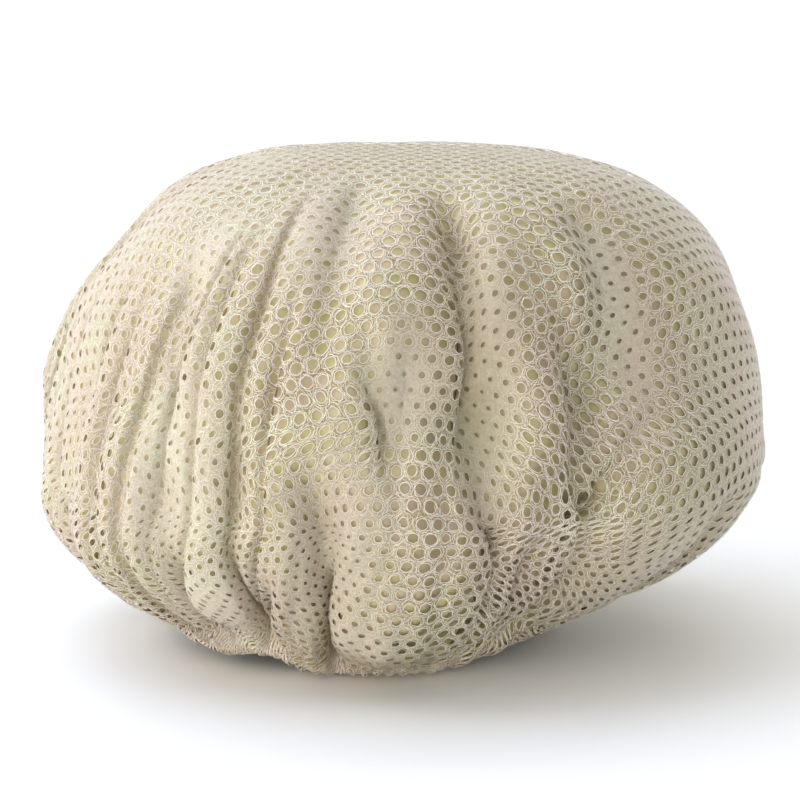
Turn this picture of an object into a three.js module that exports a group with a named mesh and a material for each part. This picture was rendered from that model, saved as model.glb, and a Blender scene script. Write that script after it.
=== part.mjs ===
// Shower cap: a full net cover over a smooth lining, both gathered into an elastic hem.
// Millimetres, +Z up, the front towards -Y. The cap stands on its hem, opening down.
import * as THREE from 'three';

// Driving dimensions
const WIDTH = 275; // over the fullest part, left to right, before the folds draw it in
const DEPTH = 242; // front to back, the same way
const HEIGHT = 179; // floor to crown
const PLAN_POWER = 2.15; // 2 is an ellipse from above, more is squarer
const COVER_WALL = 1.4;
const LINING_WALL = 1.2;
const CLEARANCE = 0.6; // between cover and lining
const SEAM = 0.3; // between the hem ring and the two cloths it gathers

const BAND_WIDTH = 6.5; // elastic hem, across
const BAND_HEIGHT = 4.5;
const BAND_GATHERS = 32; // small puckers round the hem
const PUCKER = 0.5;

// How finely the walls are cut
const COLUMNS = 96; // round the cap
const ROWS = 22; // crown to hem
const LINING_STEP = 2; // the lining takes every second column and row

// The cap's side from crown to hem. reach: share of the half width; height: share of HEIGHT;
// sideways: mm that the whole ring sits off the middle, as the soft crown leans right.
const STATIONS = [
  { name: 'crown', reach: 0.0, height: 1.0, sideways: 5 },
  { name: 'crown_edge', reach: 0.2, height: 0.999, sideways: 5.5 },
  { name: 'crown_slope', reach: 0.4, height: 0.985, sideways: 6.2 },
  { name: 'shoulder_top', reach: 0.58, height: 0.95, sideways: 6.6 },
  { name: 'shoulder', reach: 0.72, height: 0.885, sideways: 6.6 },
  { name: 'shoulder_foot', reach: 0.83, height: 0.79, sideways: 5.5 },
  { name: 'upper_side', reach: 0.91, height: 0.67, sideways: 3 },
  { name: 'side', reach: 0.96, height: 0.545, sideways: 1 },
  { name: 'lower_side', reach: 0.985, height: 0.44, sideways: 0 },
  { name: 'fullest', reach: 1.0, height: 0.355, sideways: 0 },
  { name: 'turn', reach: 0.975, height: 0.285, sideways: -2.5 },
  { name: 'turn_under', reach: 0.92, height: 0.215, sideways: -4.5 },
  { name: 'under_slope', reach: 0.835, height: 0.148, sideways: -6 },
  { name: 'under', reach: 0.735, height: 0.09, sideways: -8 },
  { name: 'under_foot', reach: 0.645, height: 0.045, sideways: -10.5 },
  { name: 'rest', reach: 0.565, height: 0.009, sideways: -12.5 },
  { name: 'hem', reach: 0.5, height: 0.0035, sideways: -13 },
];

// Folds of the front. top, bottom: degrees right of the middle at the fold's two ends;
// from, to: shares of the way from crown to hem; depth: mm inwards; width: degrees of its half;
// skew: above 0 it is steep on its left and gentle on its right, below 0 the other way.
const FRONT_FOLDS = [
  { name: 'left_side', top: -74, bottom: -80, from: 0.4, to: 1, depth: 6, width: 4.5, skew: 0 },
  { name: 'left_pleat_a', top: -59, bottom: -66, from: 0.44, to: 1, depth: 7, width: 4, skew: 0 },
  { name: 'left_shoulder', top: -46, bottom: -33, from: 0.34, to: 0.62, depth: 4.5, width: 3.2, skew: 0.2 },
  { name: 'left_pleat_b', top: -37, bottom: -34, from: 0.54, to: 1, depth: 8, width: 3.4, skew: 0.2 },
  { name: 'left_pleat_c', top: -25, bottom: -23, from: 0.5, to: 1, depth: 7, width: 3.4, skew: 0 },
  { name: 'left_pleat_d', top: -17, bottom: -21, from: 0.6, to: 1, depth: 5, width: 2.4, skew: 0 },
  { name: 'crown_crease', top: -18, bottom: -12, from: 0.16, to: 0.56, depth: 5, width: 3.8, skew: 0.2 },
  { name: 'open_gap', top: -13, bottom: -5, from: 0.56, to: 1, depth: 13, width: 3, skew: 0.1 },
  { name: 'short_crease', top: -9, bottom: 1, from: 0.4, to: 0.63, depth: 5, width: 3.2, skew: 0 },
  { name: 'deep_valley', top: 9.5, bottom: 11, from: 0.2, to: 0.64, depth: 14, width: 3.9, skew: -0.25 },
  { name: 'valley_foot', top: 10.5, bottom: 20, from: 0.48, to: 0.9, depth: 9, width: 4, skew: 0.1 },
  { name: 'centre_right', top: 25, bottom: 23, from: 0.55, to: 1, depth: 9, width: 3.4, skew: 0 },
  { name: 'lobe_edge', top: 27.5, bottom: 33, from: 0.34, to: 1, depth: 13, width: 4.8, skew: 0.3 },
  { name: 'right_shoulder', top: 41, bottom: 33, from: 0.24, to: 0.57, depth: 7, width: 4.4, skew: 0 },
  { name: 'right_pull', top: 45, bottom: 27, from: 0.53, to: 0.7, depth: 3.5, width: 2.8, skew: 0 },
  { name: 'right_under', top: 60, bottom: 65, from: 0.62, to: 1, depth: 7, width: 5, skew: 0 },
  { name: 'right_side', top: 80, bottom: 85, from: 0.6, to: 1, depth: 6, width: 5, skew: 0 },
];

// Folds of the back, spread evenly with small changes from one to the next
const BACK_FOLDS = { count: 12, start: 98, end: 266, depth: 8, width: 4.5, from: 0.42 };

// Soft dents (depth inwards) and swells (negative depth)
const DENTS = [
  { name: 'crown_swell', azimuth: -90, at: 0.16, depth: -1.5, wide: 55, tall: 0.1 },
  { name: 'left_shoulder_dent', azimuth: -88, at: 0.38, depth: 3, wide: 22, tall: 0.06 },
  { name: 'right_upper_hollow', azimuth: 46, at: 0.46, depth: 4, wide: 13, tall: 0.09 },
  { name: 'right_swell', azimuth: 90, at: 0.665, depth: -2.5, wide: 16, tall: 0.05 },
  { name: 'centre_lobe', azimuth: 3, at: 0.86, depth: -7, wide: 13, tall: 0.1 },
  { name: 'left_lobe', azimuth: -42, at: 0.82, depth: -2, wide: 14, tall: 0.1 },
  { name: 'right_hollow', azimuth: 48, at: 0.84, depth: 3, wide: 24, tall: 0.1 },
];

// The hem rests at its front and back, and beside them it is lifted. height: mm at the middle of
// the lift, which fades out over `wide` degrees to each side; from: share of the way down where
// it begins
const LIFTS = [
  { name: 'right_lift', azimuth: 68, height: 10, wide: 50, from: 0.87 },
  { name: 'left_lift', azimuth: -70, height: 8, wide: 46, from: 0.78 },
  { name: 'left_front_lift', azimuth: -28, height: 5, wide: 17, from: 0.84 },
];

const DEG = Math.PI / 180;
const smooth = (low, high, x) => THREE.MathUtils.smoothstep(x, low, high);
const wrap = (degrees) => ((((degrees + 180) % 360) + 360) % 360) - 180;

const backFolds = () =>
  Array.from({ length: BACK_FOLDS.count }, (_, i) => {
    const change = Math.sin(i * 2.4); // a different number for each fold, the same every time
    const evenly = THREE.MathUtils.lerp(BACK_FOLDS.start, BACK_FOLDS.end, i / (BACK_FOLDS.count - 1));
    const azimuth = evenly + 3 * change;
    return {
      name: `back_${i + 1}`,
      top: azimuth - 2 * change,
      bottom: azimuth + 2 * change,
      from: BACK_FOLDS.from + 0.14 * Math.cos(i * 1.7),
      to: 1,
      depth: BACK_FOLDS.depth + 2 * change,
      width: BACK_FOLDS.width,
      skew: 0.25 * change,
    };
  });

const FOLDS = [...FRONT_FOLDS, ...backFolds()];

// The side as a smooth curve through the stations, even along its length
const side = new THREE.CatmullRomCurve3(
  STATIONS.map((s) => new THREE.Vector3((s.reach * WIDTH) / 2, s.sideways, s.height * HEIGHT)),
  false,
  'centripetal',
);
side.arcLengthDivisions = 800;

// How far the underside is lifted off the floor, mm
function lift(azimuth, t) {
  let up = 0;
  for (const l of LIFTS) {
    const beside = Math.abs(wrap(azimuth - l.azimuth));
    up += l.height * (1 - smooth(0, l.wide, beside)) * smooth(l.from, 1, t);
  }
  return up;
}

// The plain form: its point and outward direction at an azimuth (degrees) and share t of the way down
function plainForm(azimuth, t) {
  const at = side.getPointAt(t);
  const along = side.getTangentAt(t);
  const s = Math.sin(azimuth * DEG);
  const c = Math.cos(azimuth * DEG);
  const plan = (Math.abs(s) ** PLAN_POWER + Math.abs(c) ** PLAN_POWER) ** (-1 / PLAN_POWER);
  const halfX = at.x * plan;
  const halfY = halfX * (DEPTH / WIDTH);
  const point = new THREE.Vector3(halfX * s + at.y, -halfY * c, at.z + lift(azimuth, t));
  const out = new THREE.Vector3(-along.z * s, along.z * c, along.x).normalize();
  return { point, out };
}

// How far the folds and dents push the cloth, mm along its outward direction
function push(azimuth, t) {
  const hem = 1 - smooth(0.9, 1, t); // every fold ends flat in the elastic
  let out = 0;
  for (const f of FOLDS) {
    const along = THREE.MathUtils.clamp((t - f.from) / (f.to - f.from), 0, 1);
    const centre = THREE.MathUtils.lerp(f.top, f.bottom, along);
    const ends = smooth(0, 0.3, along) * (f.to < 1 ? 1 - smooth(0.7, 1, along) : 1);
    const off = wrap(azimuth - centre);
    const aside = Math.abs(off) / (f.width * (1 + f.skew * Math.sign(off)));
    out -= (f.depth * ends) / (1 + aside ** 2.2);
  }
  for (const d of DENTS) {
    const across = wrap(azimuth - d.azimuth) / d.wide;
    const down = (t - d.at) / d.tall;
    out -= d.depth * Math.exp(-across * across - down * down);
  }
  return out * hem;
}

// The cover's outer face, flattened where it rests, and the point `inset` mm inside it
function coverPoint(azimuth, t, inset) {
  const { point, out } = plainForm(azimuth, t);
  point.addScaledVector(out, push(azimuth, t) - inset);
  point.z = Math.max(point.z, inset);
  return point;
}

// The lining hangs smoothly inside, by the deepest fold next to it
function liningPoint(azimuth, t, inset) {
  const { point, out } = plainForm(azimuth, t);
  const stepA = 360 / COLUMNS;
  const stepT = 1 / ROWS;
  let deepest = Infinity;
  for (const a of [-2, -1, 0, 1, 2]) {
    for (const d of [-2, -1, 0, 1, 2]) {
      const nearT = THREE.MathUtils.clamp(t + d * stepT, 0, 1);
      deepest = Math.min(deepest, push(azimuth + a * stepA, nearT));
    }
  }
  deepest *= 1 - smooth(0.93, 1, t);
  const inside = COVER_WALL + CLEARANCE + inset;
  point.addScaledVector(out, deepest - inside);
  point.z = Math.max(point.z, inside);
  return point;
}

// A closed wall, domed at the crown and open at the hem, from its outer and inner faces
function domeWall(name, columns, rows, faceAt, wall, material) {
  const points = [];
  const triangles = [];
  const face = (inset, flip) => {
    const start = points.length;
    points.push(faceAt(0, 0, inset));
    for (let r = 1; r <= rows; r++) {
      for (let c = 0; c < columns; c++) points.push(faceAt((c * 360) / columns, r / rows, inset));
    }
    const at = (r, c) => start + 1 + (r - 1) * columns + (c % columns);
    const add = (a, b, c) => triangles.push(...(flip ? [a, c, b] : [a, b, c]));
    for (let c = 0; c < columns; c++) {
      add(start, at(1, c), at(1, c + 1));
      for (let r = 1; r < rows; r++) {
        add(at(r, c), at(r + 1, c), at(r + 1, c + 1));
        add(at(r, c), at(r + 1, c + 1), at(r, c + 1));
      }
    }
    return at;
  };
  const outer = face(0, false);
  const inner = face(wall, true);
  for (let c = 0; c < columns; c++) {
    triangles.push(outer(rows, c), inner(rows, c), inner(rows, c + 1));
    triangles.push(outer(rows, c), inner(rows, c + 1), outer(rows, c + 1));
  }
  return namedMesh(name, points, triangles, material);
}

// The elastic hem: a ring with small puckers on its inner side, lifted with the edges of both cloths
function elasticBand(material) {
  const points = [];
  const triangles = [];
  const corners = [
    { across: 0, up: 0 },
    { across: 0, up: BAND_HEIGHT },
    { across: BAND_WIDTH, up: BAND_HEIGHT },
    { across: BAND_WIDTH, up: 0 },
  ];
  for (let c = 0; c < COLUMNS; c++) {
    const azimuth = (c * 360) / COLUMNS;
    const { point: edge, out } = plainForm(azimuth, 1);
    const middle = side.getPointAt(1).y;
    const raised = lift(azimuth, 1);
    const radial = new THREE.Vector3(edge.x - middle, edge.y, 0);
    const reach = radial.length() - SEAM;
    const leanIn = Math.hypot(out.x, out.y) / -out.z; // the edges slant in as they rise
    radial.normalize();
    for (const k of corners) {
      const pucker = k.across ? PUCKER * Math.cos(BAND_GATHERS * azimuth * DEG) : 0;
      const r = reach - k.across - pucker - leanIn * k.up;
      points.push(new THREE.Vector3(middle + radial.x * r, radial.y * r, k.up + raised));
    }
  }
  for (let c = 0; c < COLUMNS; c++) {
    const here = c * 4;
    const next = ((c + 1) % COLUMNS) * 4;
    for (let k = 0; k < 4; k++) {
      const n = (k + 1) % 4;
      triangles.push(here + k, next + k, next + n, here + k, next + n, here + n);
    }
  }
  return namedMesh('elastic_band', points, triangles, material);
}

function namedMesh(name, points, triangles, material) {
  const geometry = new THREE.BufferGeometry().setFromPoints(points);
  geometry.setIndex(triangles);
  geometry.computeVertexNormals();
  const mesh = new THREE.Mesh(geometry, material);
  mesh.name = name;
  return mesh;
}

const netYarn = new THREE.MeshStandardMaterial({ color: 0xd9d0b8, roughness: 0.85, metalness: 0 });
const liningCloth = new THREE.MeshStandardMaterial({ color: 0xa39a78, roughness: 0.6, metalness: 0 });
const elastic = new THREE.MeshStandardMaterial({ color: 0xcfc6aa, roughness: 0.9, metalness: 0 });

const showerCap = new THREE.Group();
showerCap.name = 'shower_cap';
showerCap.add(
  domeWall('net_cover', COLUMNS, ROWS, coverPoint, COVER_WALL, netYarn),
  domeWall('lining', COLUMNS / LINING_STEP, ROWS / LINING_STEP, liningPoint, LINING_WALL, liningCloth),
  elasticBand(elastic),
);

// Origin: the middle of the cap's own box, on the floor
const box = new THREE.Box3().setFromObject(showerCap);
showerCap.position.set(-(box.min.x + box.max.x) / 2, -(box.min.y + box.max.y) / 2, -box.min.z);

export default showerCap;
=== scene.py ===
# %% [markdown]
# # A net shower cap
# The cap has three pieces: a knitted net cover, a smooth lining inside it, and an elastic hem
# that gathers both. The frame is the measured model of the cap, and every piece made here is
# fitted to it. Sizes are in metres, or in millimetres where a name or a comment says so. The
# front is towards -Y and the crown is up +Z.

import bmesh
import bpy
import numpy as np
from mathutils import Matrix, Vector


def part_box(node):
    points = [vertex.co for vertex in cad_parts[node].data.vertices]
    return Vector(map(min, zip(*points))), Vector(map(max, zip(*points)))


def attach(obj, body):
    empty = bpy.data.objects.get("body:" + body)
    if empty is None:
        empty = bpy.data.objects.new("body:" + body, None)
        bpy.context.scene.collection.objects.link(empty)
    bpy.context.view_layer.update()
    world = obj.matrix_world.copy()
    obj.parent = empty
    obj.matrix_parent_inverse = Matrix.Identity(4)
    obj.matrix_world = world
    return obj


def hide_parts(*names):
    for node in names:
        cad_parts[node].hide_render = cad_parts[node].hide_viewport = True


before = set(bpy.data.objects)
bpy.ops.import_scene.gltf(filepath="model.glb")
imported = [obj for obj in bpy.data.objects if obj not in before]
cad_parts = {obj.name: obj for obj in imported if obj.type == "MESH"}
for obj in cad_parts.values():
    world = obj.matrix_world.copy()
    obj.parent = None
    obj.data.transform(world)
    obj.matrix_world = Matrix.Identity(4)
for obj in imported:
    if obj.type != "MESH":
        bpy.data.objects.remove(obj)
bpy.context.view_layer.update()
MM = 0.001
cover_low, cover_high = (np.array(corner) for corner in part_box("net_cover"))


# %% [markdown]
# ## The cap's form
# The cap is a soft bag of revolution, drawn in by folds. Its side is one smooth curve through a
# few stations. Folds are rows of a table too: each is a groove that starts somewhere down the
# side, drifts a little and runs into the hem. Writing the form as a function, not as a sculpted
# mesh, means that the net, the lining and the hem can all be laid on the same surface.

# %% Stations, folds and dents
WIDTH, DEPTH, HEIGHT = 275 * MM, 242 * MM, 179 * MM
PLAN_POWER = 2.15  # 2 is an ellipse from above


def table(columns, *rows):
    return [dict(zip(columns.split(), row)) for row in rows]


STATIONS = table(
    "reach height sideways",  # shares of the half width and the height; millimetres
    (0.0, 1.0, 5), (0.2, 0.999, 5.5), (0.4, 0.985, 6.2), (0.58, 0.95, 6.6), (0.72, 0.885, 6.6),
    (0.83, 0.79, 5.5), (0.91, 0.67, 3), (0.96, 0.545, 1), (0.985, 0.44, 0), (1.0, 0.355, 0),
    (0.975, 0.285, -2.5), (0.92, 0.215, -4.5), (0.835, 0.148, -6), (0.735, 0.09, -8),
    (0.645, 0.045, -10.5), (0.565, 0.009, -12.5), (0.5, 0.0035, -13),
)  # fmt: skip
FRONT_FOLDS = table(
    "top bottom start end depth width skew lap",  # degrees, shares of the way down, mm, degrees, mm
    (-74, -80, 0.4, 1, 6, 4.5, 0, -4), (-59, -66, 0.44, 1, 7, 4, 0, 5),
    (-46, -33, 0.34, 0.62, 4.5, 3.2, 0.2, 0), (-37, -34, 0.54, 1, 8, 3.4, 0.2, -5),
    (-25, -23, 0.5, 1, 7, 3.4, 0, 4), (-17, -21, 0.6, 1, 5, 2.4, 0, -4),
    (-18, -12, 0.16, 0.56, 5, 3.8, 0.2, 0), (-13, -5, 0.56, 1, 13, 3, 0.1, -6),
    (-9, 1, 0.4, 0.63, 5, 3.2, 0, 4), (9.5, 11, 0.2, 0.64, 14, 3.9, -0.25, 5),
    (10.5, 20, 0.48, 0.9, 9, 4, 0.1, 7), (25, 23, 0.55, 1, 9, 3.4, 0, 6),
    (27.5, 33, 0.34, 1, 13, 4.8, 0.3, 8), (41, 33, 0.24, 0.57, 7, 4.4, 0, 0),
    (45, 27, 0.53, 0.7, 3.5, 2.8, 0, 4), (60, 65, 0.62, 1, 7, 5, 0, 5), (80, 85, 0.6, 1, 6, 5, 0, -4),
)  # fmt: skip
DENTS = table(
    "azimuth at depth wide tall",  # degrees, share of the way down, mm, degrees, share
    (-90, 0.16, -1.5, 55, 0.1), (-88, 0.38, 3, 22, 0.06), (46, 0.46, 4, 13, 0.09),
    (90, 0.665, -2.5, 16, 0.05), (3, 0.86, -7, 13, 0.1), (-42, 0.82, -2, 14, 0.1),
    (48, 0.84, 3, 24, 0.1),
)  # fmt: skip
SMALL_DENTS = table(
    "azimuth at depth wide tall",  # the same, for dents of a few millimetres in the cloth
    (15, 0.53, 6.5, 3.5, 0.08), (41, 0.47, 4, 4.5, 0.08), (1, 0.5, 5.5, 4.5, 0.06), (-30, 0.5, -2, 5, 0.1),
    (24, 0.38, 3, 4.5, 0.07), (44, 0.36, 3, 6, 0.07), (26, 0.53, -2.5, 4, 0.06), (57, 0.6, 2.5, 8, 0.08),
)  # fmt: skip
LIFTS = table(
    "azimuth height wide start",  # the underside's lift beside the resting front and back, mm and degrees
    (68, 10, 50, 0.87), (-70, 8, 46, 0.78), (-28, 5, 17, 0.84),
)  # fmt: skip


def back_folds(count=12, first=98, last=266):
    folds = []
    for i in range(count):
        change = np.sin(i * 2.4)
        azimuth = first + (last - first) * i / (count - 1) + 3 * change
        folds.append(
            dict(top=azimuth - 2 * change, bottom=azimuth + 2 * change, start=0.42 + 0.14 * np.cos(i * 1.7),
                 end=1, depth=8 + 2 * change, width=4.5, skew=0.25 * change, lap=4 * change)
        )  # fmt: skip
    return folds


# %% [markdown]
# The side curve is a centripetal Catmull-Rom spline, which passes through every station without
# overshooting. It is sampled finely and then spaced evenly along its length, so that the share
# of the way down means the same on the steep side and on the flat crown.

# %% The side curve
def spline(points, per_span=60):
    p = np.vstack([2 * points[0] - points[1], points, 2 * points[-1] - points[-2]])
    steps = np.sqrt(np.linalg.norm(np.diff(p, axis=0), axis=1))
    u = np.linspace(0, 1, per_span, endpoint=False)[:, None]
    spans = []
    for i in range(len(points) - 1):
        a, b, c, d = p[i : i + 4]
        da, db, dc = steps[i : i + 3]
        out_b = ((b - a) / da - (c - a) / (da + db) + (c - b) / db) * db
        in_c = ((c - b) / db - (d - b) / (db + dc) + (d - c) / dc) * db
        squared, cubed = 3 * (c - b) - 2 * out_b - in_c, 2 * (b - c) + out_b + in_c
        spans.append(b + out_b * u + squared * u**2 + cubed * u**3)
    return np.vstack([*spans, points[-1:]])


side = spline(
    np.array([[s["reach"] * WIDTH / 2, s["sideways"] * MM, s["height"] * HEIGHT] for s in STATIONS])
)
side_length = np.r_[0, np.cumsum(np.linalg.norm(np.diff(side, axis=0), axis=1))]
print("side, crown to hem", round(side_length[-1] / MM), "mm")


# %% [markdown]
# The surface is worked out once, on a fine grid of azimuth by share of the way down. Every later
# piece reads its places and outward directions from this grid.

# %% The plain form and its folds
AROUND, DOWN = 2160, 361  # grid of the surface: a sixth of a degree, and under a millimetre
FOLD_BEGUN, FOLD_ENDING = 0.25, 0.7  # shares of a fold's way: at its full depth, and from where it fades
FOLD_SIDES = 2.2  # power: how quickly a fold's sides rise
NEAR_HEM = 0.9  # share of the way down from where the big folds soften into the hem
azimuth = np.linspace(-180, 180, AROUND + 1)
share = np.linspace(0, 1, DOWN)
A, T = np.meshgrid(azimuth, share)


def smooth(low, high, x):
    x = np.clip((x - low) / (high - low), 0, 1)
    return x * x * (3 - 2 * x)


def wrap(degrees):
    return (degrees + 180) % 360 - 180


def along_and_off(fold, a, t):
    """The way along one fold, from 0 to 1, and how many degrees to the right of it a point is."""
    along = np.clip((t - fold["start"]) / (fold["end"] - fold["start"]), 0, 1)
    return along, wrap(a - fold["top"] - (fold["bottom"] - fold["top"]) * along)


def groove(fold, a, t):
    """How deep one fold is at azimuth a and share t, mm."""
    along, off = along_and_off(fold, a, t)
    ends = smooth(0, FOLD_BEGUN, along) * (1 - smooth(FOLD_ENDING, 1, along) if fold["end"] < 1 else 1)
    aside = np.abs(off) / (fold["width"] * (1 + fold["skew"] * np.sign(off)))
    return fold["depth"] * ends / (1 + aside**FOLD_SIDES)


def soft_spot(spot, a, t):
    """1 in the middle of a soft round spot, and 0 well outside it."""
    aside, down = wrap(a - spot["azimuth"]) / spot["wide"], (t - spot["at"]) / spot["tall"]
    return np.exp(-(aside**2) - down**2)


def main_push(a, t):
    push = -sum(groove(f, a, t) for f in FRONT_FOLDS + back_folds())
    push -= sum(d["depth"] * soft_spot(d, a, t) for d in DENTS)
    return push * (1 - smooth(NEAR_HEM, 1, t))


def lift(a, t):
    """How far the underside is lifted off the floor, mm."""
    rise = 0
    for part in LIFTS:
        near = 1 - smooth(0, part["wide"], np.abs(wrap(a - part["azimuth"])))
        rise = rise + part["height"] * near * smooth(part["start"], 1, t)
    return rise


def plain_form(a, t):
    """Places and outward directions of the cap without its folds."""
    even = side_length / side_length[-1]
    reach, sideways, height = (np.interp(t, even, side[:, k]) for k in range(3))
    d_reach, d_height = (np.interp(t, even, np.gradient(side[:, k], even)) for k in (0, 2))
    s, c = np.sin(np.radians(a)), np.cos(np.radians(a))
    plan = (np.abs(s) ** PLAN_POWER + np.abs(c) ** PLAN_POWER) ** (-1 / PLAN_POWER)
    height = height + lift(a, t) * MM
    place = np.stack([reach * plan * s + sideways, -reach * plan * DEPTH / WIDTH * c, height], -1)
    out = np.stack([-d_height * s, d_height * c, d_reach], -1)
    return place, out / np.linalg.norm(out, axis=-1, keepdims=True)


place, out = plain_form(A, T)
print("surface grid", place.shape[:2])


# %% [markdown]
# ## Creases
# Where cloth laps over itself there is a sharp crease, with the cloth on one side of it drawn out
# and across into a lip. A fold's lap says how far, and to which side. This is the part of a fold
# that a solid with a few thousand triangles can't hold, and it adds only a few millimetres.

# %% Sharp creases and their lips
CREASE_HALF, LIP_OFF, LIP_NEAR, LIP_FAR = 1.1, 1.5, 0.9, 3.0  # degrees
CREASE_IN, LIP_OUT = 1.1, 0.2  # shares of the lap
CREASE_ASIDE = 0.3  # from the fold's middle to its crease, share of the fold's width


def crease(off, lapped):
    """The push and the sideways draw, mm, beside a crease; the lip is on the side where off is below 0."""
    lip = off + LIP_OFF
    lip = np.exp(-((lip / np.where(lip > 0, LIP_NEAR, LIP_FAR)) ** 2))
    push = LIP_OUT * lip - CREASE_IN * np.exp(-((off / CREASE_HALF) ** 2))
    return lapped * push, lapped * lip


def creases(a, t):
    push, draw = np.zeros_like(a), np.zeros_like(a)
    for fold in FRONT_FOLDS + back_folds():
        along, off = along_and_off(fold, a, t)
        way = np.sign(fold["lap"])
        fading = smooth(NEAR_HEM, 1, t) if fold["end"] == 1 else smooth(0.55, 1, along)
        ends = smooth(0.35, 0.65, along) * (1 - fading)
        fold_push, fold_draw = crease(way * off + CREASE_ASIDE * fold["width"], np.abs(fold["lap"]))
        push += fold_push * ends
        draw += way * fold_draw * ends
    return push, draw


# %% [markdown]
# ## Fine pleats
# The net is cut much fuller than the cap, and the elastic draws the extra cloth into many small
# pleats between the big folds. They are made by a loop from a seeded random generator. The left
# of the front has the most of them, and they start high up there. The others start lower down.
# All fade in along their way and soften just above the hem.

# %% Fine pleats
rng = np.random.default_rng(7)
PLEAT_ZONES = table(
    "first last count depth start lap",  # degrees, degrees, pleats, mm, share of the way down, mm
    (-100, -18, 15, 2.0, 0.14, 2.6), (-96, -20, 18, 1.4, 0.30, 0), (-18, 20, 9, 1.8, 0.42, 0),
    (20, 100, 16, 1.8, 0.45, 0), (100, 260, 46, 2.4, 0.40, 1.5),
)  # fmt: skip
PLEAT_DRIFT, PLEAT_WOBBLE = 5, 0.8  # to one side on the way down, degrees
PLEAT_REACH = 16  # beyond this many degrees a pleat is not felt


def fine_pleats(a, t):
    push, draw = np.zeros_like(a), np.zeros_like(a)
    for zone in PLEAT_ZONES:
        centres = np.linspace(zone["first"], zone["last"], zone["count"], endpoint=False)
        spacing = (zone["last"] - zone["first"]) / zone["count"]
        for centre in centres + spacing * rng.uniform(0.1, 0.9, zone["count"]):
            begin = zone["start"] + rng.uniform(-0.05, 0.35)
            drift = rng.uniform(-PLEAT_DRIFT, PLEAT_DRIFT)
            depth = zone["depth"] * rng.uniform(0.5, 1.3)
            width = rng.uniform(0.25, 0.5) * min(spacing, 5)
            along = np.clip((t[:, 0] - begin) / (1 - begin), 0, 1)
            line = centre + drift * (along - 0.5) + PLEAT_WOBBLE * np.sin(7 * along + centre)
            depth = depth * smooth(0, 0.35, along) * (1 - 0.7 * smooth(0.93, 1, along))
            near = np.abs(wrap(a[0] - centre)) < PLEAT_REACH
            off = wrap(a[:, near] - line[:, None])
            push[:, near] -= depth[:, None] / (1 + np.abs(off / width) ** 1.8)
            way = rng.choice((-1, 1))
            lapped = zone["lap"] * smooth(0.05, 0.3, along) * (1 - smooth(0.75, 1, along))
            pleat_push, pleat_draw = crease(way * off, lapped[:, None])
            push[:, near] += pleat_push
            draw[:, near] += way * pleat_draw
    return push, draw


def soft_waves(a, t, depth=1.4):
    """Broad, shallow unevenness of soft cloth."""
    waves = np.zeros_like(a)
    for k in range(9):
        turns, dips = rng.integers(3, 15), rng.uniform(2, 7)
        around = np.sin(np.radians(a) * turns + rng.uniform(0, 6.3) + 1.5 * np.sin(dips * t))
        waves += around * np.cos(dips * t * 3)
    return waves * depth / 3 * smooth(0.08, 0.3, t) * (1 - smooth(0.85, 1, t))


def hem_gathers(a, t, count=96, depth=1.5):
    """Small gathers that the elastic draws into the last of the cloth."""
    turn = a * count + 60 * np.sin(np.radians(5 * a)) + 40 * np.sin(np.radians(11 * a))
    uneven = 0.7 + 0.3 * np.sin(np.radians(17 * a))
    return -depth * uneven * (0.5 + 0.5 * np.cos(np.radians(turn))) * smooth(0.84, 0.95, t)


# %% All pushes together
folds_mm = main_push(A, T)
crease_mm, crease_draw = creases(A, T)
pleats_mm, pleats_draw = fine_pleats(A, T)
small_mm = soft_waves(A, T) + crease_mm + pleats_mm + hem_gathers(A, T)
small_mm -= sum(d["depth"] * soft_spot(d, A, T) for d in SMALL_DENTS)
sideways_mm = crease_draw + pleats_draw
small_mm[:, -1], sideways_mm[:, -1] = small_mm[:, 0], sideways_mm[:, 0]
print("folds to", round(-folds_mm.min(), 1), "mm, pleats to", round(-small_mm.min(), 1), "mm deep")


# %% [markdown]
# ## The cloth as one surface
# The folds push the plain form inwards along its outward direction, and the lips of the creases
# are drawn sideways over them, as cloth laps over itself. The lowest parts are then
# flattened onto the surface that the cap stands on. The whole form is moved so that it fills the
# box of the measured cover, which puts every piece made from it in the right place.

# %% The folded surface
NET_DEPTH = 0.7  # mm from the cover's outer face to the middle of the net
HEM_OVERHANG = 1.2 * MM  # how far the net's gathered edge hangs down over the hem
NET_LOWEST = 0.3 * MM

to_right = np.gradient(place, axis=1)
to_right /= np.linalg.norm(to_right, axis=-1, keepdims=True) + 1e-12


def folded(inset_mm, push, lapped=1.0):
    """The form pushed out by push less the inset, mm, with a share of the sideways draw."""
    points = place + out * ((push - inset_mm) * MM)[..., None]
    points += to_right * (lapped * sideways_mm * MM)[..., None]
    points[..., 2] = np.maximum(points[..., 2], inset_mm * MM)
    return points


bare = folded(0, folds_mm, 0)
shift = (cover_low + cover_high - bare.min((0, 1)) - bare.max((0, 1))) / 2
shift[2] = 0
net_surface = folded(NET_DEPTH, folds_mm + small_mm) + shift
net_surface[..., 2] = np.maximum(net_surface[..., 2] - HEM_OVERHANG * smooth(0.95, 1, T), NET_LOWEST)


def outward(surface):
    """The directions square to a surface of the grid."""
    along = np.gradient(surface, axis=1)
    along[:, 0] = along[:, -1] = (surface[:, 1] - surface[:, -2]) / 2
    n = np.cross(np.gradient(surface, axis=0), along)
    n[0] = (0, 0, 1)
    return n / np.maximum(np.linalg.norm(n, axis=-1, keepdims=True), 1e-12)


net_out = outward(net_surface)
print("surface spans", np.round((net_surface.max((0, 1)) - net_surface.min((0, 1))) / MM, 1), "mm")


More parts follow.
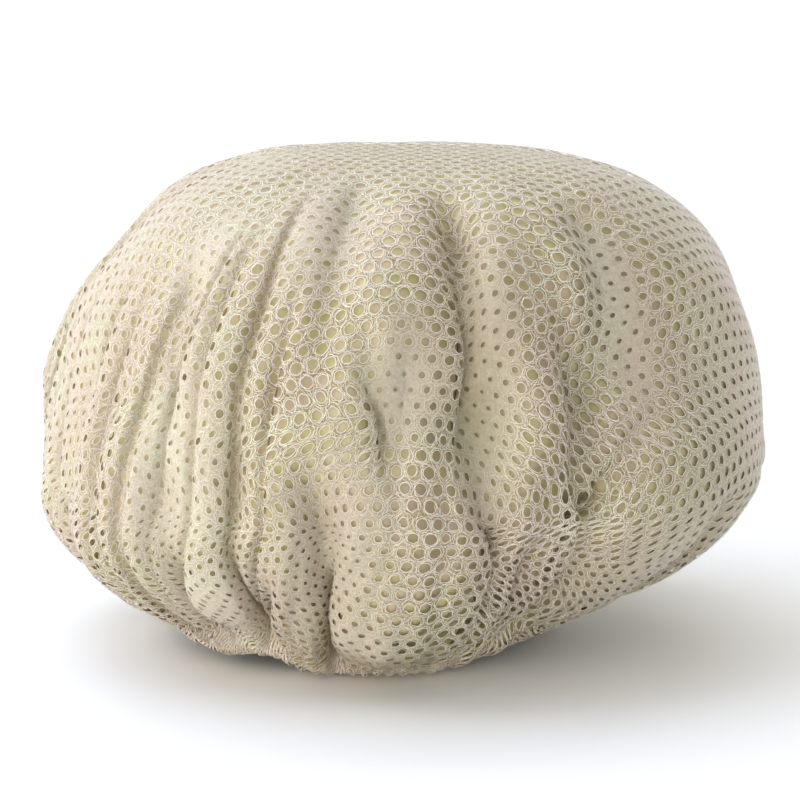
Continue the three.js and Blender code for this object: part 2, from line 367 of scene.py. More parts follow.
# %% [markdown]
# ## Laying a flat net on the form
# A cap like this is cut as a circle. A flat net is drawn on that circle in even staggered rows,
# and each of its points is carried to the cap: its distance from the middle becomes the way down
# the side, and its direction becomes an azimuth. Cloth does not shrink, so the points are spaced
# by the length of the folded surface. What is left over is drawn into the bottoms of the folds
# and pleats, so the holes stay round on the lobes and close up in the valleys.

# %% From the flat circle to the cap
CUT_RADIUS = 0.292
FULLNESS = table("azimuth share", (-180, 0.95), (-100, 1.1), (-60, 1.25), (-25, 1.1), (0, 1.0), (30, 1.0),
                 (50, 0.95), (62, 1.05), (80, 1.25), (100, 1.1), (140, 0.95), (180, 0.95))  # fmt: skip
MOST_GATHERED = 4.0  # how many times as much cloth as surface a fold's bottom takes
FOLD_BOTTOM = 9  # mm deep, where a fold takes its full share of the cloth
EVEN_OUT = 9  # rows of the grid over which the cloth's shift to one side is evened out

steps = np.linalg.norm(np.diff(net_surface, axis=1), axis=2) + 1e-9
middle = (azimuth[1:] + azimuth[:-1]) / 2
fuller = np.interp(middle, [f["azimuth"] for f in FULLNESS], [f["share"] for f in FULLNESS])
steps *= 1 + (fuller - 1) * smooth(0.1, 0.5, share)[:, None]
hidden = np.clip(-(folds_mm + small_mm)[:, 1:] / FOLD_BOTTOM, 0, 1) ** 2 + 1e-4
left_over = 2 * np.pi * CUT_RADIUS * share - steps.sum(1)
gathered = np.clip(left_over / (steps * hidden).sum(1), 0, MOST_GATHERED)
steps *= 1 + gathered[:, None] * hidden
turn = np.concatenate([np.zeros((DOWN, 1)), np.cumsum(steps, axis=1)], axis=1)
turn *= 360 / turn[:, -1:]
turn -= turn[:, AROUND // 2][:, None]  # the front's middle stays where it is
blend = smooth(0.05, 0.2, share)[:, None]
turn = azimuth * (1 - blend) + turn * blend
padded = np.concatenate([turn[:1]] * EVEN_OUT + [turn] + [turn[-1:]] * EVEN_OUT)
turn = sum(padded[k : k + DOWN] for k in range(2 * EVEN_OUT + 1)) / (2 * EVEN_OUT + 1)
twice = np.concatenate([azimuth[:-1] - 360, azimuth, azimuth[1:] + 360])
drift = np.stack(
    [
        np.interp(azimuth, np.concatenate([row[:-1] - 360, row, row[1:] + 360]), twice) - azimuth
        for row in turn
    ]
)
print("cloth drifts round by up to", round(np.abs(drift).max(), 1), "degrees")


# %% [markdown]
# In places the net lies double, which blurs its pattern. A short table says where, and by what
# share. In deep valleys the colour is darkened towards brown, which is painted shade. How much is
# set by a point's depth below the cloth beside it, and more where the table says so.

# %% Where the net lies double, and the painted shade of its valleys
DOUBLED = table(
    "azimuth at wide tall share dusk",  # degrees, share, degrees, share; how much doubling, how much painted shade
    (84, 0.55, 27, 0.35, 1, 0), (54, 0.76, 15, 0.12, 1, 0.5), (41, 0.42, 5, 0.14, 1, 0.9),
    (13.5, 0.5, 4.5, 0.17, 1, 1.6), (-1, 0.5, 6, 0.07, 1, 0.9), (-75, 0.5, 32, 0.4, 0.7, 0),
    (-36, 0.62, 12, 0.2, 0.8, 0), (-9, 0.73, 9, 0.14, 0.9, 0.8), (-42, 0.36, 10, 0.1, 0.7, 0),
    (-30, 0.8, 12, 0.1, 0.8, 0), (-3, 0.84, 8, 0.08, 0.7, 0), (-22, 0.3, 12, 0.12, 0.6, 0),
    # The last two rows paint shade alone, for the dark holes low on the front.
    (6, 0.905, 9, 0.04, 0, 2), (-8.5, 0.9, 2.5, 0.07, 0, 2),
)  # fmt: skip
PAINTED_SHADE_REACH, PAINTED_SHADE_DEPTH = 45, 5.0  # columns to each side that a valley is set against, mm below it for full painted shade
PAINTED_SHADE_EVENED, PAINTED_SHADE_LOST = 3, 0.4  # columns to each side; share of the painted shade lost where the net lies double


def smoothed(push, reach):
    """A grid of pushes, each averaged with its neighbours along the row."""
    total = np.zeros_like(push[:, :-1])
    for k in range(-reach, reach + 1):
        total += np.roll(push[:, :-1], k, 1)
    total /= 2 * reach + 1
    return np.concatenate([total, total[:, :1]], 1)


doubled = np.max([d["share"] * soft_spot(d, A, T) for d in DOUBLED], axis=0)
# Painted shade: the deeper the cloth lies below the cloth beside it, the darker its colour
dusk = np.clip((smoothed(folds_mm + small_mm, PAINTED_SHADE_REACH) - folds_mm - small_mm) / PAINTED_SHADE_DEPTH, 0, 1)
dusk = smoothed(dusk, PAINTED_SHADE_EVENED) * (1 - PAINTED_SHADE_LOST * doubled)
dusk = np.maximum(dusk, np.max([d["dusk"] * soft_spot(d, A, T) for d in DOUBLED], axis=0))
print("net lies double on", round(100 * (doubled > 0.5).mean()), "% of the surface")


# %% Carrying points from the circle to the cap
def look_up(grid, a, t):
    """The grid's values at azimuths a (degrees) and shares t, between its points."""
    x, y = (a + 180) % 360 / 360 * AROUND, np.clip(t, 0, 1) * (DOWN - 1)
    i, j = np.minimum(x.astype(int), AROUND - 1), np.minimum(y.astype(int), DOWN - 2)
    u, v = (x - i), (y - j)
    if grid.ndim == 3:
        u, v = u[..., None], v[..., None]
    top = grid[j, i] * (1 - u) + grid[j, i + 1] * u
    return top * (1 - v) + (grid[j + 1, i] * (1 - u) + grid[j + 1, i + 1] * u) * v


def carried(flat):
    """The azimuth and share on the cap of points of the flat circle."""
    far = np.hypot(flat[..., 0], flat[..., 1]) / CUT_RADIUS
    heading = np.degrees(np.arctan2(flat[..., 0], -flat[..., 1]))
    return heading + look_up(drift, heading, far), far


def lay(flat, surface, directions):
    """Carries points of the flat circle to the surface, with the surface's outward directions."""
    a, far = carried(flat)
    n = look_up(directions, a, far)
    return look_up(surface, a, far), n / np.linalg.norm(n, axis=-1, keepdims=True)


# %% [markdown]
# ## Knitting the net
# The knit has round holes in staggered rows. The bars between the holes are bundles of fine, bright
# filaments with narrow gaps: one rings each hole, two more run round outside it, bulging into the
# corners where three holes meet, and short floats cross from ring to ring. Behind them lies a soft
# web, the many finer filaments that fill the bars. One hole is drawn flat once and then repeated
# with numpy over the whole circle, each with a little unevenness. Filaments are flat ribbons, so
# that thousands of holes stay light.

# %% One hole of the net, and all of them
HOLE_PITCH, ROW_PITCH = 6.0 * MM, 5.45 * MM  # along a row, and from row to row
HOLE_RADIUS, WEB_RADIUS, WEB_BEHIND = 2.06 * MM, 2.24 * MM, 0.25 * MM
HOLE_STRAY = 0.16 * MM  # how far a hole is off its place in the rows
LOOPS = table(
    "bar corner width uneven tight",  # mm from the hole's middle, mm, share, share of the closing taken
    (2.14, 2.18, 0.20, 0.06, 1), (2.50, 2.73, 0.15, 0.13, 0.8), (2.94, 3.38, 0.15, 0.14, 0),
)  # fmt: skip
LOOP_STEPS, LOOP_RISE = 12, 0.11 * MM
FLOAT_WIDTH, FLOAT_SLANT, FLOAT_STRAY, FLOAT_RISE = 0.15 * MM, 1.5 * MM, 0.25 * MM, 0.08 * MM
CLOSED_UP = 0.6  # how much smaller the holes are where the net lies double
WEB_BLUR, YARN_BLUR = 0.7, 0.42  # how much closer the web's and the yarns' tones are there

rows = np.arange(-int(CUT_RADIUS / ROW_PITCH) - 1, int(CUT_RADIUS / ROW_PITCH) + 2)
columns = np.arange(-int(CUT_RADIUS / HOLE_PITCH) - 1, int(CUT_RADIUS / HOLE_PITCH) + 2)
grid_x, grid_y = np.meshgrid(columns, rows)
holes = np.stack([(grid_x + 0.5 * (grid_y % 2)) * HOLE_PITCH, grid_y * ROW_PITCH], -1).reshape(-1, 2)
holes = holes[np.hypot(*holes.T) < CUT_RADIUS]
print("holes in the net", len(holes))

loop_angle = np.arange(LOOP_STEPS) / LOOP_STEPS * 2 * np.pi
corners = np.arange(LOOP_STEPS) % 2  # a loop's odd points are where three holes meet
cell = np.array([(0.5, 0), (0.5, 1 / 3), (0.25, 0.5), (0, 2 / 3), (-0.25, 0.5), (-0.5, 1 / 3)])
cell = np.vstack([cell, -cell]) * (HOLE_PITCH, ROW_PITCH)


def round_loop(centres, bar, corner, uneven, tight):
    """Closed loops round the centres, each a little out of round, and smaller by the share tight."""
    size = (bar + (corner - bar) * corners) * np.ones((len(centres), 1)) * (1 - np.reshape(tight, (-1, 1)))
    larger = rng.normal(0, uneven, (len(centres), 1))
    out_of_round = rng.normal(0, 0.7 * uneven, (len(centres), LOOP_STEPS))
    size *= 1 + larger + out_of_round
    return centres[:, None] + size[..., None] * np.stack([np.cos(loop_angle), np.sin(loop_angle)], -1)


def up_and_down(centres, height):
    """A filament's ups and downs as it goes round a hole."""
    return height * np.cos(3 * loop_angle + rng.uniform(0, 2 * np.pi, (len(centres), 1)))


def joined(lines, closed):
    """Faces between neighbouring lines of points; all lines have the shape (how many, points, 3)."""
    count, points = lines[0].shape[:2]
    k = np.arange(count * points).reshape(count, points) * len(lines)
    here, after = (k, np.roll(k, -1, 1)) if closed else (k[:, :-1], k[:, 1:])
    between = range(len(lines) - 1)
    faces = [np.stack([here + i, after + i, after + i + 1, here + i + 1], -1) for i in between]
    return np.stack(lines, 2).reshape(-1, 3), np.stack(faces, 2).reshape(-1, 4)


def web(centres, uneven_centres, tight):
    """The cell round each hole, out to its neighbours' cells, with the hole left open."""
    inner = round_loop(uneven_centres, WEB_RADIUS, WEB_RADIUS, 0.02, tight)
    lines = []
    for flat in (inner, centres[:, None] + cell):
        path, n = lay(flat, net_surface, net_out)
        lines.append(path - n * WEB_BEHIND)
    return joined(lines, closed=True)


def ribbon(flat, width, height, closed=True):
    """Ribbons of one width along loops or floats laid on the net."""
    path, n = lay(flat, net_surface, net_out)
    path = path + n * height[..., None]
    ahead = np.roll(path, -1, 1) - np.roll(path, 1, 1) if closed else np.gradient(path, axis=1)
    aside = np.cross(n, ahead)
    aside *= width / 2 / (np.linalg.norm(aside, axis=-1, keepdims=True) + 1e-12)
    return joined([path - aside, path + aside], closed)


def knit(centres):
    """The points, faces and tones of all round these holes; the tone is 0 for the web, 1 for a yarn, and a
    second attribute holds the valleys' painted shade.
    """
    uneven = centres + rng.normal(0, HOLE_STRAY, centres.shape)
    double, in_painted_shade = look_up(doubled, *carried(centres)), look_up(dusk, *carried(centres))
    parts = [web(centres, uneven, CLOSED_UP * double)]
    for loop in LOOPS:
        moved = uneven + rng.normal(0, 0.6 * loop["uneven"] * loop["bar"] * MM, centres.shape)
        tight = CLOSED_UP * loop["tight"] * double
        flat = round_loop(moved, loop["bar"] * MM, loop["corner"] * MM, loop["uneven"], tight)
        parts.append(ribbon(flat, loop["width"] * MM, up_and_down(centres, LOOP_RISE)))
    for neighbour in ((1, 0), (0.5, 1), (-0.5, 1)):
        step = np.array(neighbour) * (HOLE_PITCH, ROW_PITCH)
        along = step / np.linalg.norm(step)
        aside = np.array((-along[1], along[0]))
        slant = rng.choice((-FLOAT_SLANT, FLOAT_SLANT), (len(centres), 1))
        start, end = uneven + along * HOLE_RADIUS, uneven + step - along * HOLE_RADIUS
        floats = np.stack([start + aside * slant, end - aside * slant], 1)
        floats += rng.normal(0, FLOAT_STRAY, floats.shape)
        parts.append(ribbon(floats, FLOAT_WIDTH, np.full(floats.shape[:2], FLOAT_RISE), closed=False))
    starts = np.cumsum([0] + [len(points) for points, _ in parts])
    faces = np.vstack([f + k for (_, f), k in zip(parts, starts)])
    each = [len(points) // len(centres) for points, _ in parts]
    part_tones = [WEB_BLUR * double] + [1 - YARN_BLUR * double] * (len(parts) - 1)
    tones = {
        "tone": np.concatenate([np.repeat(tone, n) for tone, n in zip(part_tones, each)]),
        # painted shade of the valleys, read by the material
        "dusk": np.concatenate([np.repeat(in_painted_shade, n) for n in each]),
    }
    return np.vstack([points for points, _ in parts]), faces, tones


# %% [markdown]
# Blender takes whole arrays of points and faces at once, which is far quicker than adding them
# one by one. The net is one cloth, kept as six meshes of moderate size, one for each sixth.

# %% The net as six meshes
def cloth_mesh(name, points, faces, tones):
    """A smooth mesh, with the tones as attributes of its points."""
    mesh = bpy.data.meshes.new(name)
    mesh.vertices.add(len(points))
    mesh.vertices.foreach_set("co", np.asarray(points, np.float32).ravel())
    mesh.loops.add(faces.size)
    mesh.loops.foreach_set("vertex_index", faces.astype(np.int32).ravel())
    mesh.polygons.add(len(faces))
    mesh.polygons.foreach_set("loop_start", np.arange(len(faces), dtype=np.int32) * faces.shape[1])
    mesh.update(calc_edges=True)
    mesh.validate()
    mesh.shade_smooth()
    for attribute, values in tones.items():
        layer = mesh.attributes.new(attribute, "FLOAT", "POINT")
        layer.data.foreach_set("value", values.astype(np.float32))
    piece = bpy.data.objects.new(name, mesh)
    bpy.context.collection.objects.link(piece)
    return piece


SIDES = ("front", "front_right", "back_right", "back", "back_left", "front_left")
heading = np.degrees(np.arctan2(holes[:, 0], -holes[:, 1]))
net_pieces, net_areas = [], []  # the areas are the flat cloth's own, with its holes left out
for i, side_name in enumerate(SIDES):
    off = wrap(heading - i * 360 / len(SIDES))
    own = holes[(off >= -30) & (off < 30)]
    piece = cloth_mesh("net_" + side_name, *knit(own))
    net_pieces.append(piece)
    hole_radius = HOLE_RADIUS * (1 - CLOSED_UP * look_up(doubled, *carried(own)))
    net_areas.append((HOLE_PITCH * ROW_PITCH - np.pi * hole_radius**2).sum())
    over_cloth = sum(p.area for p in piece.data.polygons) / net_areas[-1]
    print(piece.name, 2 * len(piece.data.polygons), "triangles, yarn over cloth", round(over_cloth, 2))


# %% [markdown]
# ## The lining
# A smooth, thin cloth hangs inside the net and shows through every hole. It follows the big folds
# but not the fine pleats: it is the same surface pushed inwards by the deepest fold beside each
# point and then smoothed, so it never comes through the net. It touches the net in some places and
# hangs back in others, most of all low on the front, where that gap and shade painted onto the
# cloth make the holes dark.

# %% The surface that the lining lies on
LINING_DEPTH = 1.3  # mm behind the cover's outer face, at the least
HANGS = table(
    "azimuth at depth wide tall",  # where it hangs back from the net: degrees, share, mm, degrees, share
    (5, 0.89, 7, 40, 0.05), (19, 0.38, 3, 7, 0.1), (43, 0.4, 2.5, 8, 0.1), (6, 0.6, 2.5, 4, 0.12),
    (28, 0.68, 2.5, 6, 0.1), (-16, 0.48, 1.5, 4, 0.12),
)  # fmt: skip
SLACK = 0.6  # mm, of the shallow waves in which it hangs all over
NEARBY, LINING_EVENED = 4, 3  # columns to each side
LINING_LAP = 0.7  # how much of the creases' sideways draw it follows


def deepest_nearby(push, reach):
    """A grid of pushes, each taken as the deepest of its neighbours along the row."""
    deepest = push.copy()
    for k in range(1, reach + 1):
        for way in (-k, k):
            deepest[:, :-1] = np.minimum(deepest[:, :-1], np.roll(push[:, :-1], way, 1))
    return deepest


waves = 1.3 + np.sin(np.radians(5 * A) + 9 * T) * np.cos(np.radians(3 * A) - 13 * T + 1)
waves += 0.3 * np.sin(21 * T + np.radians(8 * A))
hanging = sum(d["depth"] * soft_spot(d, A, T) for d in HANGS) * (1 - smooth(0.93, 1, T))
lining_push = smoothed(deepest_nearby(folds_mm + small_mm, NEARBY), LINING_EVENED)
lining_push -= SLACK * waves * (1 - doubled) * smooth(0.05, 0.2, T) * (1 - smooth(NEAR_HEM, 1, T)) + hanging
lining_surface = folded(LINING_DEPTH, lining_push, LINING_LAP) + shift
print("lining up to", round((folds_mm + small_mm - lining_push).max(), 1), "mm deeper than the net")


# %% The lining as one curved sheet
LINING_COLUMNS, LINING_ROWS = 480, 50
LINING_THICKNESS = 0.3 * MM

pick_a = np.linspace(0, AROUND, LINING_COLUMNS, endpoint=False).astype(int)
pick_t = np.linspace(0, DOWN - 1, LINING_ROWS + 1).astype(int)[1:]
grid = lining_surface[np.ix_(pick_t, pick_a)]
k = np.arange(LINING_ROWS * LINING_COLUMNS).reshape(LINING_ROWS, LINING_COLUMNS)
beside = np.roll(k, -1, 1)
quads = np.stack([k[:-1], k[1:], beside[1:], beside[:-1]], -1).reshape(-1, 4)
crown = len(k.ravel())
lining_points = np.vstack([grid.reshape(-1, 3), lining_surface[0].mean(0)])
# The lining takes the painted shade of the valleys too.
lining_tones = {
    attribute: np.append(grid_of[np.ix_(pick_t, pick_a)].ravel(), 0)
    for attribute, grid_of in (("tone", doubled), ("dusk", dusk))
}
lining_piece = cloth_mesh("lining_cloth", lining_points, quads, lining_tones)
work = bmesh.new()
work.from_mesh(lining_piece.data)
work.verts.ensure_lookup_table()
for c in range(LINING_COLUMNS):
    face = work.faces.new([work.verts[crown], work.verts[k[0, c]], work.verts[beside[0, c]]])
    face.smooth = True
bmesh.ops.recalc_face_normals(work, faces=work.faces)
work.to_mesh(lining_piece.data)
work.free()
lining_area = sum(p.area for p in lining_piece.data.polygons)
thickness = lining_piece.modifiers.new("cloth thickness", "SOLIDIFY")
thickness.thickness, thickness.offset = LINING_THICKNESS, -1
bpy.ops.object.select_all(action="DESELECT")
bpy.context.view_layer.objects.active = lining_piece
bpy.ops.object.modifier_apply(modifier=thickness.name)
print("lining", 4 * len(quads), "triangles,", round(lining_area, 3), "m2")


# %% [markdown]
# ## The elastic hem
# The elastic is a flat ring under the cap, covered by a narrow tape that puckers as the elastic
# shrinks back. It could be a curve with a flat profile, but then each pucker would have to be a
# point of the curve. A torus is quicker. Blender makes one of 256 steps at most, so it is divided
# once more, which gives a pucker five or six points. Then its round section is squared up, and its
# points are laid along the net's edge. The puckers push the inner edge and the top in and out.

# %% The ring that the hem starts from
HEM_AROUND, HEM_SECTION = 250, 8  # steps round the ring and round its section, before it is divided
RING_THICKNESS = 0.3  # share of the ring's radius, of use only until its points are laid
HEM_SQUARENESS = 0.45  # 1 is a round section, towards 0 a rectangle

bpy.ops.object.select_all(action="DESELECT")
bpy.ops.mesh.primitive_torus_add(
    major_segments=HEM_AROUND, minor_segments=HEM_SECTION, major_radius=1, minor_radius=RING_THICKNESS,
    location=(0, 0, 0),
)  # fmt: skip
bpy.ops.object.mode_set(mode="EDIT")
bpy.ops.mesh.select_all(action="SELECT")
bpy.ops.mesh.subdivide(number_cuts=1)
bpy.ops.object.mode_set(mode="OBJECT")
hem_piece = bpy.context.object
hem_piece.name = "hem_elastic"
ring = np.empty(3 * len(hem_piece.data.vertices), np.float32)
hem_piece.data.vertices.foreach_get("co", ring)
ring = ring.reshape(-1, 3).astype(float)
hem_a = np.degrees(np.arctan2(ring[:, 0], -ring[:, 1]))
section = np.stack([np.hypot(ring[:, 0], ring[:, 1]) - 1, ring[:, 2]])
section /= np.hypot(*section)
section = np.sign(section) * np.abs(section) ** HEM_SQUARENESS
far_in, up = (1 - section[0]) / 2, (1 + section[1]) / 2
print("ring with", len(ring), "points")


# %% Laid along the cloth's edge, with its puckers
HEM_WIDTH, HEM_HEIGHT = 6.2 * MM, 3.6 * MM
HEM_INSIDE, HEM_ABOVE = 1.0 * MM, 0.9 * MM  # from the net's edge, and over the surface it stands on
HEM_PUCKERS = 90
INNER_PUCKER, UPPER_PUCKER = 0.55 * MM, 0.10  # in and out, and share of the height

edge, _ = plain_form(hem_a[:, None], np.ones((len(hem_a), 1)))
edge = edge[:, 0] + shift
middle_of_hem = np.array([side[-1, 1], 0, 0]) + shift
inward = (middle_of_hem - edge) * (1, 1, 0)
inward /= np.linalg.norm(inward, axis=1, keepdims=True)
angle = np.radians(hem_a)
pucker = np.cos(HEM_PUCKERS * angle + 4.5 * np.sin(7 * angle) + 1.7 * np.sin(13 * angle))
reach = HEM_INSIDE + far_in * (HEM_WIDTH + INNER_PUCKER * pucker)
rise = HEM_ABOVE + up * HEM_HEIGHT * (1 + UPPER_PUCKER * pucker) + lift(hem_a, 1.0) * MM
hem_points = edge * (1, 1, 0) + inward * reach[:, None] + np.array([0, 0, 1]) * rise[:, None]
hem_piece.data.vertices.foreach_set("co", hem_points.astype(np.float32).ravel())
hem_piece.data.update()
bpy.ops.object.shade_smooth()
print("hem", 2 * len(hem_piece.data.polygons), "triangles")


# %% [markdown]
# ## Materials
# Colours are written as sRGB hex values and turned to linear by one function. One small function
# adds a node with its settings and what goes into its sockets, so that each material reads as a
# short recipe. A Mix node for colours takes its share at socket 0 and its two colours at 6 and 7,
# and gives its result at output 2.

# %% Colour and node helpers
PAINTED_SHADE_SHARE = 0.42  # how far the painted shade takes a deep valley's colour towards brown


def linear(hex_code, alpha=1.0):
    channels = [int(hex_code[i : i + 2], 16) / 255 for i in (1, 3, 5)]
    return (*[c / 12.92 if c <= 0.04045 else ((c + 0.055) / 1.055) ** 2.4 for c in channels], alpha)


def node(material, kind, sockets=(), stops=(), **settings):
    """Adds a node. A socket takes another node's output or a plain value, stops are a colour ramp's,
    and a setting with an underscore in front is an attribute of the node itself."""
    n = material.node_tree.nodes.new(kind)
    for name, value in settings.items():
        if name.startswith("_"):
            setattr(n, name[1:], value)
        else:
            n.inputs[name.replace("_", " ")].default_value = value
    for socket, source in dict(sockets).items():
        if isinstance(source, bpy.types.NodeSocket):
            material.node_tree.links.new(source, n.inputs[socket])
        else:
            n.inputs[socket].default_value = source
    for k, (position, hex_code) in enumerate(stops):
        n.color_ramp.elements[k].position, n.color_ramp.elements[k].color = position, linear(hex_code)
    return n


def new_material(name):
    material = bpy.data.materials.new(name)
    material.use_nodes = True
    material.node_tree.nodes.clear()
    return material


def finish_material(material, shader):
    node(material, "ShaderNodeOutputMaterial", {"Surface": shader.outputs["BSDF"]})
    return material


def with_painted_shade(material, colour, hex_code):
    """The colour, part of the way to the hex code's darker colour where the cloth lies in a valley: painted
    shade.
    """
    depth = node(material, "ShaderNodeAttribute", _attribute_name="dusk").outputs["Fac"]
    share = node(material, "ShaderNodeMath", {0: depth, 1: PAINTED_SHADE_SHARE}, _operation="MULTIPLY")
    between = {0: share.outputs["Value"], 6: colour, 7: linear(hex_code)}
    return node(material, "ShaderNodeMix", between, _data_type="RGBA").outputs[2]


# %% [markdown]
# The net is bulked polyester: bright, thin yarns with a soft shine, whose brightness goes up and
# down along them, partly uneven tone and partly painted glints. The web behind them reads darker,
# with fine gaps between its filaments, and an attribute on the mesh tells the two apart. Where the
# net lies double their tones draw together, and in the valleys both are darkened towards brown,
# which is painted shade.

# %% Polyester net yarn
COLOUR_DRIFT, YARN_LENGTH, FILAMENT_GAP = 30 * MM, 1.2 * MM, 0.45 * MM


def polyester_net_yarn():
    m = new_material("polyester_net_yarn")
    own_space = {"Vector": node(m, "ShaderNodeTexCoord").outputs["Object"]}
    clouds = node(m, "ShaderNodeTexNoise", own_space, Scale=1 / COLOUR_DRIFT, Detail=3.0)
    cream = node(
        m, "ShaderNodeValToRGB", {"Fac": clouds.outputs["Fac"]}, ((0.35, "#F8E9DE"), (0.65, "#F6F4E0"))
    )
    # Brightness going up and down along the yarns: partly uneven tone, partly painted glints.
    yarns = node(m, "ShaderNodeTexNoise", own_space, Scale=1 / YARN_LENGTH, Detail=2.0)
    light = node(
        m, "ShaderNodeMapRange", {"Value": yarns.outputs["Fac"]},
        From_Min=0.3, From_Max=0.7, To_Min=0.8, To_Max=1.05,
    )  # fmt: skip
    bright = node(
        m, "ShaderNodeHueSaturation", {"Color": cream.outputs["Color"], "Value": light.outputs["Result"]}
    )
    gaps = node(m, "ShaderNodeTexNoise", own_space, Scale=1 / FILAMENT_GAP, Detail=1.0)
    web = node(
        m, "ShaderNodeValToRGB", {"Fac": gaps.outputs["Fac"]}, ((0.38, "#7A6D4B"), (0.62, "#B5A67E"))
    )
    tone = node(m, "ShaderNodeAttribute", _attribute_name="tone")
    web_to_yarn = node(
        m, "ShaderNodeMix", {0: tone.outputs["Fac"], 6: web.outputs["Color"], 7: bright.outputs["Color"]},
        _data_type="RGBA",
    )  # fmt: skip
    # Valleys darkened towards brown: painted shade.
    shader = node(
        m, "ShaderNodeBsdfPrincipled", {"Base Color": with_painted_shade(m, web_to_yarn.outputs[2], "#8C7F58")},
        Roughness=0.55, IOR=1.5, Sheen_Weight=0.3, Sheen_Roughness=0.4,
    )  # fmt: skip
    return finish_material(m, shader)


# %% [markdown]
# The lining is a smooth, thin knitted cloth in olive-beige. Light that comes back through the net
# makes it look mottled, so its colour drifts between two beiges and a yellow green. Where the net
# lies double, a paler beige with a faint lace of its own stands for the second layer.

# %% Smooth lining cloth
BEIGE_DRIFT, GREEN_PATCH, LACE_HOLE, WALE = 26 * MM, 11 * MM, 5.5 * MM, 0.5 * MM


def lining_cloth():
    m = new_material("smooth_lining_cloth")
    own_space = {"Vector": node(m, "ShaderNodeTexCoord").outputs["Object"]}
    clouds = node(m, "ShaderNodeTexNoise", own_space, Scale=1 / BEIGE_DRIFT, Detail=2.0)
    beige = node(
        m, "ShaderNodeValToRGB", {"Fac": clouds.outputs["Fac"]}, ((0.38, "#C8B79C"), (0.62, "#CCC193"))
    )
    patches = node(m, "ShaderNodeTexNoise", own_space, Scale=1 / GREEN_PATCH, Detail=2.0, Roughness=0.6)
    green = node(
        m, "ShaderNodeMapRange", {"Value": patches.outputs["Fac"]},
        From_Min=0.5, From_Max=0.66, To_Min=0.0, To_Max=0.7,
    )  # fmt: skip
    mottled = node(
        m, "ShaderNodeMix", {0: green.outputs["Result"], 6: beige.outputs["Color"], 7: linear("#B5B266")},
        _data_type="RGBA",
    )  # fmt: skip
    lace = node(m, "ShaderNodeTexVoronoi", own_space, _feature="DISTANCE_TO_EDGE", Scale=1 / LACE_HOLE)
    threads = node(
        m, "ShaderNodeMapRange", {"Value": lace.outputs["Distance"]},
        From_Min=0.05, From_Max=0.25, To_Min=1.0, To_Max=0.75,
    )  # fmt: skip
    tone = node(m, "ShaderNodeAttribute", _attribute_name="tone")
    second = node(
        m, "ShaderNodeMath", {0: tone.outputs["Fac"], 1: threads.outputs["Result"]}, _operation="MULTIPLY"
    )
    layers = node(
        m, "ShaderNodeMix", {0: second.outputs["Value"], 6: mottled.outputs[2], 7: linear("#D0C6AB")},
        _data_type="RGBA",
    )  # fmt: skip
    wales = node(m, "ShaderNodeTexNoise", own_space, Scale=1 / WALE, Detail=1.0)
    bump = node(m, "ShaderNodeBump", {"Height": wales.outputs["Fac"]}, Strength=0.15, Distance=0.1 * MM)
    # Valleys darkened towards olive brown: painted shade.
    shader = node(
        m, "ShaderNodeBsdfPrincipled",
        {"Base Color": with_painted_shade(m, layers.outputs[2], "#7D7245"), "Normal": bump.outputs["Normal"]},
        Roughness=0.6, IOR=1.5, Sheen_Weight=0.15, Sheen_Roughness=0.5,
    )  # fmt: skip
    return finish_material(m, shader)


# %% [markdown]
# The hem tape is woven polyester over elastic: matt and cream, with the fine grain of its threads,
# which is drawn about twice as coarse as real threads, so that it shows.

# %% Woven hem tape
THREAD_GRAIN = 0.7 * MM


def woven_hem_tape():
    m = new_material("woven_hem_tape")
    own_space = {"Vector": node(m, "ShaderNodeTexCoord").outputs["Object"]}
    threads = node(m, "ShaderNodeTexNoise", own_space, Scale=1 / THREAD_GRAIN, Detail=3.0)
    cream = node(
        m, "ShaderNodeValToRGB", {"Fac": threads.outputs["Fac"]}, ((0.3, "#C3B896"), (0.7, "#E0D8C2"))
    )
    bump = node(m, "ShaderNodeBump", {"Height": threads.outputs["Fac"]}, Strength=0.4, Distance=0.3 * MM)
    shader = node(
        m, "ShaderNodeBsdfPrincipled",
        {"Base Color": cream.outputs["Color"], "Normal": bump.outputs["Normal"]},
        Roughness=0.8, IOR=1.5, Sheen_Weight=0.3,
    )  # fmt: skip
    return finish_material(m, shader)


yarn, lining_finish, tape = polyester_net_yarn(), lining_cloth(), woven_hem_tape()
for piece in net_pieces:
    piece.data.materials.append(yarn)
    piece.visible_shadow = False  # the real yarns are so thin that the lining gets nearly all the light
lining_piece.data.materials.append(lining_finish)
hem_piece.data.materials.append(tape)
print("finishes", [m.name for m in (yarn, lining_finish, tape)])


# %% [markdown]
# ## Joining the frame
# Each piece rides on the one body and stands for its measured node, which is hidden.

# %% Pieces, nodes and cloths
for piece, area in zip(net_pieces, net_areas):
    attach(piece, "root")
    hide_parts("net_cover")
print("net", round(sum(net_areas), 4), "m2 of cloth in", len(net_pieces), "pieces")
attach(lining_piece, "root")
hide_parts("lining")
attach(hem_piece, "root")
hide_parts("elastic_band")


# %% [markdown]
# ## Floor, light and camera
# The cap stands on a plain pale floor that runs up into a backdrop. Three large soft lights on the
# left, one of them overhead and one low down, give the crown and the left side their brightness. A
# weak one on the right and the even light of the surroundings keep the other side open, and the
# last one lights the backdrop. The camera looks down on the cap by a few degrees.

# %% Floor and backdrop
BEND_START, BEND_RADIUS = 0.9, 0.5  # where the floor starts to turn up behind the cap, and how sharply

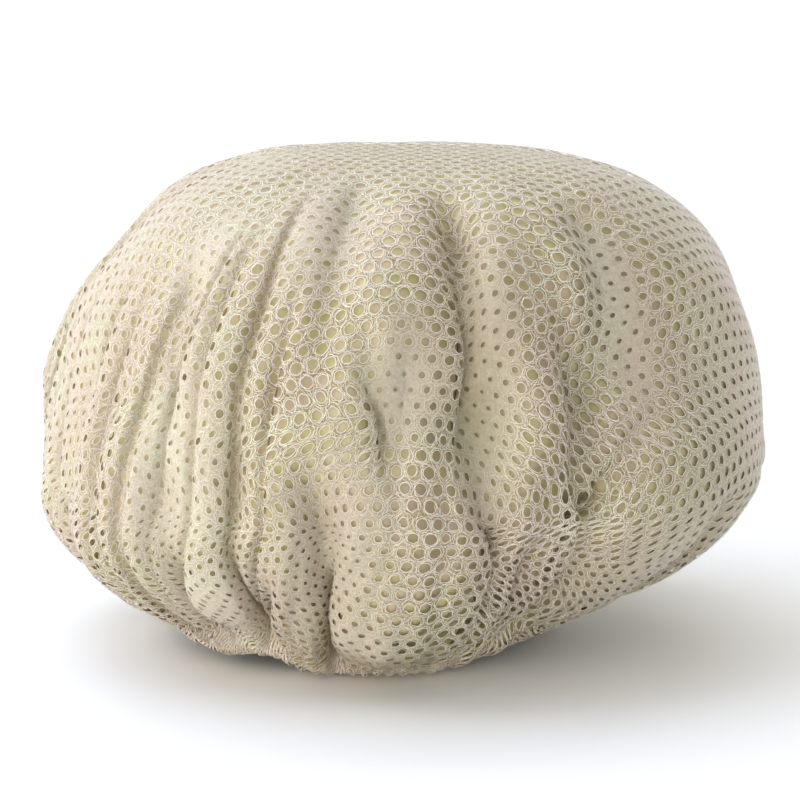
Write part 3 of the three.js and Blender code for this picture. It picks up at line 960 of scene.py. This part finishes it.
bpy.ops.object.select_all(action="DESELECT")
bpy.ops.mesh.primitive_grid_add(x_subdivisions=2, y_subdivisions=48, size=4, location=(0, 0, 0))
floor = bpy.context.object
floor.name = "floor"
for v in floor.data.vertices:
    back = max(0.0, v.co.y - BEND_START)
    turned = min(back / BEND_RADIUS, np.pi / 2)
    if back:
        v.co.y = BEND_START + BEND_RADIUS * np.sin(turned)
        v.co.z = BEND_RADIUS * (1 - np.cos(turned)) + max(0.0, back - BEND_RADIUS * np.pi / 2)
floor.data.shade_smooth()
paper = new_material("white_paper")
white = node(paper, "ShaderNodeBsdfPrincipled", Base_Color=linear("#F7F7F5"), Roughness=0.9)
floor.data.materials.append(finish_material(paper, white))


# %% Lights
LIT_POINT = Vector((0, 0, 0.09))  # the cap's middle, which every light faces


def soft_light(name, place, size, watts, colour):
    light = bpy.data.lights.new(name, "AREA")
    light.shape, light.size, light.size_y = "RECTANGLE", size[0], size[1]
    light.energy, light.color = watts, linear(colour)[:3]
    lamp = bpy.data.objects.new(name, light)
    lamp.location = place
    lamp.rotation_euler = (LIT_POINT - Vector(place)).to_track_quat("-Z", "Y").to_euler()
    bpy.context.collection.objects.link(lamp)


soft_light("key_upper_left", (-1.3, -0.75, 0.8), (2.0, 1.6), 7.2, "#ECF2FF")
soft_light("top_left", (-0.75, 0.1, 1.4), (1.3, 1.3), 13, "#D8E4FF")
soft_light("fill_right", (1.5, 0.0, 0.5), (0.8, 0.8), 1.0, "#FFF9F0")
soft_light("low_front", (-1.25, -0.95, 0.12), (1.6, 0.4), 12.5, "#FFF4E2")
soft_light("backdrop", (0, 1.0, 1.9), (2.0, 0.6), 9, "#FFFFFF")
print(len(bpy.data.lights), "soft lights")

world = bpy.data.worlds.new("studio")
world.use_nodes = True
world.node_tree.nodes["Background"].inputs["Color"].default_value = linear("#FFFFFF")
world.node_tree.nodes["Background"].inputs["Strength"].default_value = 0.68
bpy.context.scene.world = world
bpy.context.scene.view_settings.view_transform = "Standard"


# %% Camera
CAMERA_DISTANCE, CAMERA_ELEVATION = 1.15, 12  # metres, degrees above level
VIEW_WIDTH = 292 * MM  # what the frame takes in at the cap's distance
aim = Vector((0.0, 0.0, 0.0872))
elevation = np.radians(CAMERA_ELEVATION)
camera_data = bpy.data.cameras.new("camera")
camera_data.lens = camera_data.sensor_width * CAMERA_DISTANCE / VIEW_WIDTH
camera = bpy.data.objects.new("camera", camera_data)
camera.location = aim + Vector((0, -np.cos(elevation), np.sin(elevation))) * CAMERA_DISTANCE
camera.rotation_euler = (aim - camera.location).to_track_quat("-Z", "Y").to_euler()
bpy.context.collection.objects.link(camera)
bpy.context.scene.camera = camera
print("camera at", [round(c, 3) for c in camera.location], "lens", round(camera_data.lens), "mm")
